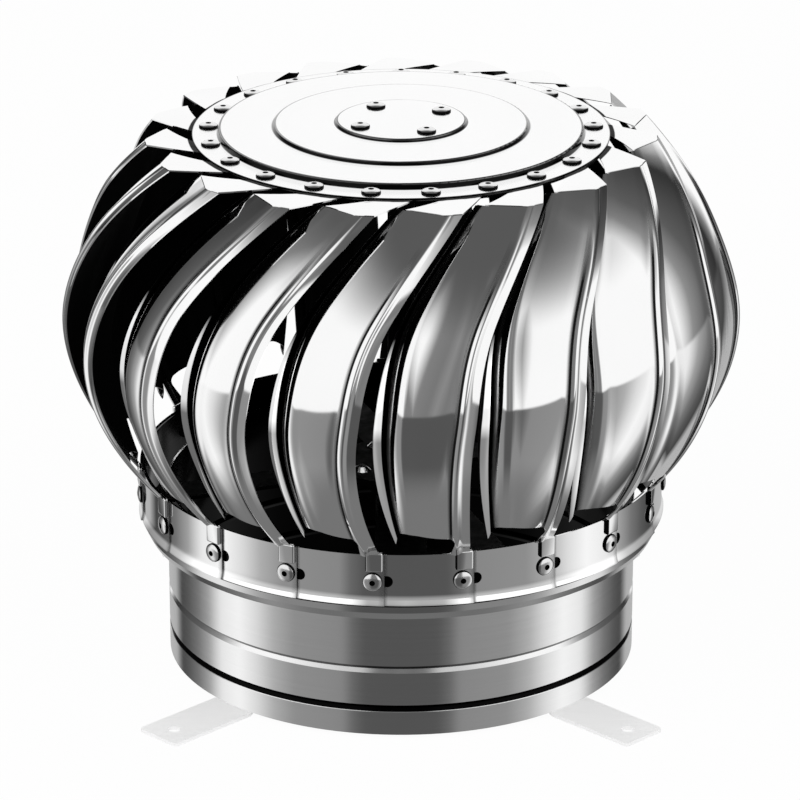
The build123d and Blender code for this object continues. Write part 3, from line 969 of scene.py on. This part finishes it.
    def cut_window(self, blade: bpy.types.Object) -> None:
        """Cuts the rounded window at the blade's foot, which is higher at the left.

        Args:
            blade: The blade.
        """
        left, right = (self.ring_radius * math.sin(math.radians(turn)) for turn in self.window_turns)
        low = Vector((self.window_reach[0], left, self.plate_top - self.window_below))
        high = Vector((self.window_reach[1], right, self.plate_top + self.window_above))
        deselect()
        centre = (low + high) / 2000
        bpy.ops.mesh.primitive_cube_add(size=1, location=centre)
        cutter = bpy.context.active_object
        bpy.ops.transform.resize(value=(high - low) / 1000)
        bpy.ops.object.transform_apply(location=True, rotation=True, scale=True)
        for vertex in cutter.data.vertices:
            if vertex.co.z > centre.z and vertex.co.y < centre.y:
                vertex.co.z += self.window_slant / 1000
        bpy.ops.object.mode_set(mode="EDIT")
        bpy.ops.mesh.select_mode(type="EDGE")
        bpy.ops.mesh.select_all(action="DESELECT")
        mesh = bmesh.from_edit_mesh(cutter.data)
        for edge in mesh.edges:
            along = edge.verts[0].co - edge.verts[1].co
            edge.select = abs(along.x) > 0.9 * along.length
        bmesh.update_edit_mesh(cutter.data)
        bpy.ops.mesh.bevel(offset=self.window_rounding / 1000, segments=6)
        bpy.ops.object.mode_set(mode="OBJECT")
        carve(blade, cutter)

    def cut_slot(self, plate: bpy.types.Object) -> None:
        """Cuts the long hole that the neighbour's rivet passes.

        Args:
            plate: The plate.
        """
        seam = self.ring_radius * math.radians(self.plate_right)
        middle = (self.slot_middle / 1000, 0, 0)
        deselect()
        bpy.ops.mesh.primitive_cylinder_add(
            vertices=32, radius=self.slot_radius / 1000, depth=self.slot_depth / 1000, location=middle
        )
        cutter = bpy.context.active_object
        bpy.ops.transform.rotate(value=math.pi / 2, orient_axis="Y", center_override=middle)
        bpy.ops.object.transform_apply(location=True, rotation=True, scale=True)
        for vertex in cutter.data.vertices:
            if vertex.co.y > 1e-6:
                vertex.co.y += (seam + self.slot_past_seam - self.slot_radius) / 1000
        cutter.data.transform(Matrix.Rotation(math.radians(-self.pitch), 4, "Z"))
        cutter.data.transform(Matrix.Translation((0, 0, self.slot_level / 1000)))
        carve(plate, cutter)

    def blank(self) -> bpy.types.Object:
        """Models one whole vane at no turn.

        Returns:
            The vane.
        """
        blade = self.blade()
        self.cut_window(blade)
        plate = self.plate()
        self.cut_slot(plate)
        choose([blade, plate, self.tab(), self.tongue()])
        bpy.ops.object.join()
        bpy.ops.object.shade_smooth_by_angle(angle=math.radians(self.smooth_angle))
        return bpy.context.active_object


@dataclass(frozen=True)
class VaneFinish:
    """Polished sheet with painted shade in the gutter, on its inner side, in the line beside the bead,
    beside the seams and under the rim.

    Stops named across read a tenth of the vane's mark, and stops named up read the share of its height.
    """

    name: str = "polished_vane"
    tone: float = 0.97
    dull: float = 0.6
    rough: tuple[float, float] = (0.03, 0.09)
    lean: float = 14.0
    crease_rise: float = 0.2
    rim_shade: float = 0.0891
    rim_blur: float = 0.0002
    # Painted shade across the sheet: the gutter and one side of the tongue, a strip beside the neighbour's
    # seam and the plate's last edge.
    lit_across: Stops = (
        (0.0, 1.0), (0.408, 1.0), (0.425, 0.0), (0.585, 0.0), (0.60, 1.0), (0.817, 1.0), (0.8205, 0.0),
        (0.8235, 0.0), (0.8242, 1.0), (0.898, 1.0), (0.8995, 0.0),
    )
    # Painted shade in a line beside the bead, fading out near the foot and the crease.
    line_across: Stops = ((0.0, 1.0), (0.270, 1.0), (0.280, 0.02), (0.3255, 0.02), (0.3268, 1.0), (1.0, 1.0))
    line_up: Stops = ((0.0, 1.0), (0.04, 0.6), (0.1, 0.0), (0.8, 0.0), (0.93, 1.0))
    # Painted shade on the lip's upper part, where it is narrowest.
    lip_across: Stops = ((0.0, 1.0), (0.585, 1.0), (0.59, 0.0), (0.71, 0.0), (0.72, 1.0))
    lip_up: Stops = ((0.0, 1.0), (0.6, 1.0), (0.68, 0.0), (1.0, 0.0))
    # Painted glow of light on the plates' feet and on the lips.
    plate_glow_across: Stops = ((0.0, 0.0), (0.799, 0.0), (0.8, 1.0))
    plate_glow_up: Stops = ((0.0, 0.05), (0.03, 0.22), (0.13, 0.25), (0.2, 0.0))
    lip_glow_across: Stops = ((0.0, 0.0), (0.595, 0.0), (0.605, 1.0), (0.70, 1.0), (0.705, 0.0))
    lip_glow_up: Stops = ((0.0, 0.1), (0.40, 0.16), (0.44, 0.75), (0.6, 0.9))
    lean_across: Stops = ((0.0, 0.0), (0.325, 0.0), (0.3255, 1.0), (0.375, 1.0), (0.395, 0.2), (0.41, 0.0))
    flange_across: Stops = ((0.0, 1.0), (0.33, 1.0), (0.335, 0.0))
    flange_up: Stops = ((0.0, 0.0), (0.74, 0.0), (0.92, 1.0), (1.0, 1.0))
    rise_across: Stops = ((0.0, 1.0), (0.41, 1.0), (0.42, 0.0))
    rise_up: Stops = ((0.0, 0.0), (0.68, 0.0), (0.86, 0.35), (1.0, 1.0))

    def lit(self, kit: Finish, across: Out, up: Out) -> Out:
        """Where the sheet shows bright, and where shade is painted on it.

        Args:
            kit: The material's nodes.
            across: A tenth of the mark.
            up: Share of the height.

        Returns:
            One where it is bright, nought where shade is painted.
        """
        line = kit.math("MAXIMUM", kit.ramp(across, self.line_across), kit.ramp(up, self.line_up))
        lip = kit.math("MAXIMUM", kit.ramp(across, self.lip_across), kit.ramp(up, self.lip_up))
        # Painted shade on the tabs under the rim's edge and on the inner faces.
        past_rim = kit.border(kit.radius(), self.rim_shade - self.rim_blur, self.rim_shade + self.rim_blur)
        return kit.product(kit.ramp(across, self.lit_across), line, lip, past_rim, kit.outer())

    def glow(self, kit: Finish, across: Out, up: Out) -> Out:
        """Faint painted glow of light on the plates' feet and the lips.

        Args:
            kit: The material's nodes.
            across: A tenth of the mark.
            up: Share of the height.

        Returns:
            The glow's strength.
        """
        plate = kit.product(kit.ramp(across, self.plate_glow_across), kit.ramp(up, self.plate_glow_up))
        lip = kit.product(kit.ramp(across, self.lip_glow_across), kit.ramp(up, self.lip_glow_up))
        return kit.math("MAXIMUM", plate, lip)

    def normal(self, kit: Finish, across: Out, up: Out) -> Out:
        """Normal of the slightly wavy sheet, turned by the bead and raised near the crease.

        Args:
            kit: The material's nodes.
            across: A tenth of the mark.
            up: Share of the height.

        Returns:
            The normal.
        """
        flange = kit.product(kit.ramp(across, self.flange_across), kit.ramp(up, self.flange_up))
        turns = kit.math("MAXIMUM", kit.ramp(across, self.lean_across), flange)
        waves = kit.bumped(kit.noise(16.0, 1.0, (1, 1, 0.6)), 1.0, 0.0002)
        angle = kit.product(turns, math.radians(self.lean))
        leaned = kit.add("ShaderNodeVectorRotate", {"Vector": waves, "Angle": angle}, rotation_type="Z_AXIS")
        near_crease = kit.product(kit.ramp(up, self.rise_up), kit.ramp(across, self.rise_across))
        rise = kit.add("ShaderNodeCombineXYZ", {"Z": kit.product(near_crease, self.crease_rise)})
        tilted = kit.vector("ADD", leaned.outputs["Vector"], rise.outputs["Vector"])["Vector"]
        return kit.vector("NORMALIZE", tilted)["Vector"]

    def material(self) -> bpy.types.Material:
        """Makes the finish.

        Returns:
            The material.
        """
        kit = Finish(self.name)
        marks = kit.split(kit.add("ShaderNodeUVMap", uv_map="marks").outputs["UV"])
        across, up = marks["X"], marks["Y"]
        lit = self.lit(kit, across, up)
        kit.shade(kit.streaks(kit.noise(30.0, 5.0, (1, 1, 0.25)), self.tone * 0.97, self.tone), lit)
        polished = kit.streaks(kit.noise(11.0, 4.0), *self.rough)
        glow = kit.product(self.glow(kit, across, up), lit)
        kit.feed(kit.shader, {"Roughness": kit.mixed(lit, (self.dull,) * 3 + (1,), polished)})
        # The emission is a painted glow of light; the sheet is no lamp.
        kit.feed(kit.shader, {"Emission Color": WHITE, "Emission Strength": glow})
        kit.feed(kit.shader, {"Normal": self.normal(kit, across, up)})
        return kit.material


@dataclass(frozen=True)
class RivetRow:
    """Where the like rivets of one node sit. Sizes in millimetres and turns in degrees."""

    node: str
    count: int
    radius: float
    first_turn: float
    level: float
    radial: bool
    shank: float


@dataclass
class Rivets:
    """Pop rivets: domed heads with the hole of the mandrel, and painted shade in the hole, on the rim of the
    head and on the shank. Sizes in millimetres.
    """

    head_radius: float = 4.0
    head_height: float = 1.7
    edge_height: float = 0.35
    edge_share: float = 0.93
    hole_radius: float = 1.2
    hole_share: float = 0.999
    hole_depth: float = 0.8
    shank_radius: float = 2.0
    arc_steps: int = 7
    turn_steps: int = 32
    smooth_angle: float = 35.0
    rows: tuple[RivetRow, ...] = (
        RivetRow("rim_rivets", 21, 80.75, 90.0, 232.0, False, 4.0),
        RivetRow("hub_rivets", 4, 19.9, 32.0, 237.3, False, 4.0),
        RivetRow("vane_rivets", 19, 111.7, -171.76, 75.4, True, 3.6),
    )
    head_finish: Fitting = Fitting("bright_rivet", (0.9, 0.9, 0.9), (0.12, 0.2))
    # The dark finish paints shade in the hole, on the rim of the head and on the shank.
    painted_shade_finish: Fitting = Fitting("rivet_painted_shade", (0.004, 0.004, 0.004), (0.5, 0.7))

    def profile(self, shank: float) -> list[tuple[float, float]]:
        """Half of a rivet's section, from the shank's end round to the hole's floor.

        Args:
            shank: Length of the shank.

        Returns:
            Radius and height of each corner.
        """
        dome = self.head_height - self.edge_height
        rise = self.edge_height + dome * math.sqrt(1 - (self.hole_radius / self.head_radius) ** 2)
        crown = math.acos(self.hole_radius / self.head_radius)
        turns = [crown * step / self.arc_steps for step in range(self.arc_steps + 1)]
        arc = [
            (self.head_radius * math.cos(turn), self.edge_height + dome * math.sin(turn)) for turn in turns
        ]
        return [
            (0, -shank), (self.shank_radius, -shank), (self.shank_radius, 0), (self.head_radius, 0), *arc,
            (self.hole_radius, rise - self.hole_depth), (0, rise - self.hole_depth),
        ]

    def blank(self, shank: float) -> bpy.types.Object:
        """Models one rivet with its axis along Z and the head's underside at the origin.

        Args:
            shank: Length of the shank.

        Returns:
            The rivet.
        """
        profile = self.profile(shank)
        deselect()
        bpy.ops.mesh.primitive_plane_add(size=0.001)
        rivet = bpy.context.active_object
        bpy.ops.object.mode_set(mode="EDIT")
        bpy.ops.mesh.select_mode(type="VERT")
        bpy.ops.mesh.select_all(action="SELECT")
        bpy.ops.mesh.merge(type="CENTER")
        bpy.ops.transform.translate(value=(0, 0, profile[0][1] / 1000))
        for before, after in zip(profile, profile[1:]):
            step = ((after[0] - before[0]) / 1000, 0, (after[1] - before[1]) / 1000)
            bpy.ops.mesh.extrude_region_move(TRANSFORM_OT_translate={"value": step})
        bpy.ops.mesh.select_all(action="SELECT")
        bpy.ops.mesh.spin(steps=self.turn_steps, angle=2 * math.pi, center=(0, 0, 0), axis=(0, 0, 1))
        bpy.ops.mesh.select_all(action="SELECT")
        bpy.ops.mesh.remove_doubles(threshold=1e-6)
        bpy.ops.mesh.normals_make_consistent(inside=False)
        bpy.ops.object.mode_set(mode="OBJECT")
        bpy.ops.object.shade_smooth_by_angle(angle=math.radians(self.smooth_angle))
        return rivet

    def darken(self, rivet: bpy.types.Object) -> None:
        """Paints shade on the hole, the rim of the head and the shank, which get the dark finish.

        Args:
            rivet: The rivet, upright, with the dark finish in its second slot.
        """
        for polygon in rivet.data.polygons:
            reach = math.hypot(polygon.center.x, polygon.center.y) * 1000
            low = polygon.center.z * 1000 < self.edge_height
            inner, outer = self.hole_radius * self.hole_share, self.head_radius * self.edge_share
            polygon.material_index = int(low or not inner <= reach <= outer)

    def build(self) -> None:
        """Models one rivet of each row and sets its copies."""
        head, hole = self.head_finish.material(), self.painted_shade_finish.material()
        for row in self.rows:
            blank = self.blank(row.shank)
            blank.data.materials.append(head)
            blank.data.materials.append(hole)
            self.darken(blank)
            copies = []
            for index in range(row.count):
                mesh = blank.data.copy()
                if row.radial:
                    mesh.transform(Matrix.Rotation(math.pi / 2, 4, "Y"))
                mesh.transform(Matrix.Translation((row.radius / 1000, 0, row.level / 1000)))
                turn = math.radians(row.first_turn + 360 / row.count * index)
                mesh.transform(Matrix.Rotation(turn, 4, "Z"))
                copies.append(placed(f"domed_{row.node}", mesh))
            bpy.data.objects.remove(blank)
            choose(copies)
            bpy.ops.object.join()
            piece = bpy.context.active_object
            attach(piece, Body.ROTOR.value)
            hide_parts(row.node)
            log.info("%s: %d rivets", piece.name, row.count)


@dataclass
class Rotor:
    """Vanes, top plate, ring, spider and rivets."""

    vane_count: int = 19
    first_turn: float = -171.76
    vane: Vane = field(default_factory=Vane)
    vane_finish: VaneFinish = VaneFinish()
    top_finish: TopSteel = TopSteel("polished_top")
    # The ring has painted shade above 63.6 mm, where it lies behind the plates, and on its inner faces.
    ring_finish: SatinSteel = SatinSteel("satin_ring", painted_shade_above=0.0636)
    # Near black stands for painted shade on the spider, the clamp ring and the bearings inside the cowl.
    inside_shade_finish: Fitting = Fitting("painted_shade_inside", (0.003, 0.003, 0.003), (0.6, 0.8))
    rivets: Rivets = field(default_factory=Rivets)

    def vanes(self) -> None:
        """Models one vane and places its copies."""
        blank = self.vane.blank()
        material = self.vane_finish.material()
        blank.data.materials.clear()
        blank.data.materials.append(material)
        triangles = sum(len(polygon.vertices) - 2 for polygon in blank.data.polygons)
        for index in range(self.vane_count):
            mesh = blank.data.copy()
            turn = math.radians(self.first_turn + 360 / self.vane_count * index)
            mesh.transform(Matrix.Rotation(turn, 4, "Z"))
            piece = placed(f"pressed_vane_{index + 1:02d}", mesh)
            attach(piece, Body.ROTOR.value)
            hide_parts(f"vane_{index + 1:02d}")
            log.info("%s: %d triangles", piece.name, triangles)
        bpy.data.objects.remove(blank)

    def build(self) -> None:
        """Models the vanes and the rivets, and dresses the rotor's other pieces."""
        self.vanes()
        dress(Body.ROTOR, ["top_plate"], self.top_finish.material())
        dress(Body.ROTOR, ["rotor_ring"], self.ring_finish.material())
        dress(
            Body.ROTOR,
            ["rotor_spider", "clamp_ring", "upper_bearing_housing", "lower_bearing_housing",
             "upper_bearing_outer_ring", "lower_bearing_outer_ring"],
            self.inside_shade_finish.material(),
        )
        self.rivets.build()
        dress(
            Body.ROTOR,
            ["rim_rivets", "hub_rivets", "spider_rivets", "vane_rivets"],
            self.rivets.head_finish.material(),
        )


@dataclass
class FixedBase:
    """Neck, feet, bars and shaft."""

    # The neck has painted shade in a band in its groove, on faces that slope down and on its inner faces.
    neck_finish: SatinSteel = SatinSteel(
        "satin_neck", tone=0.95, shaded_slope=-0.15, painted_shade_band=(0.0119, 0.0134)
    )
    foot_finish: PaleSteel = PaleSteel("pale_foot")
    # Near black stands for painted shade on the bars, the shaft and the fittings inside the cowl.
    bar_shade_finish: Fitting = Fitting("painted_shade_bar", (0.003, 0.003, 0.003), (0.6, 0.8))

    def build(self) -> None:
        """Dresses the fixed pieces."""
        dress(Body.FIXED, ["neck"], self.neck_finish.material())
        dress(
            Body.FIXED,
            ["foot_back_right", "foot_back_left", "foot_front_left", "foot_front_right"],
            self.foot_finish.material(),
        )
        dress(
            Body.FIXED,
            ["lower_cross_bar", "upper_cross_bar", "shaft", "spacer_tube", "shaft_clip", "shaft_washers",
             "shaft_nuts", "lower_bearing_inner_ring", "upper_bearing_inner_ring"],
            self.bar_shade_finish.material(),
        )


def main() -> None:
    """Builds the scene in order."""
    logging.basicConfig(level=logging.INFO)
    bpy.context.scene.view_settings.view_transform = "Standard"
    for part in (Studio(), Rotor(), FixedBase()):
        part.build()
        log.info("%s: built", type(part).__name__)


if __name__ == "__main__":
    main()
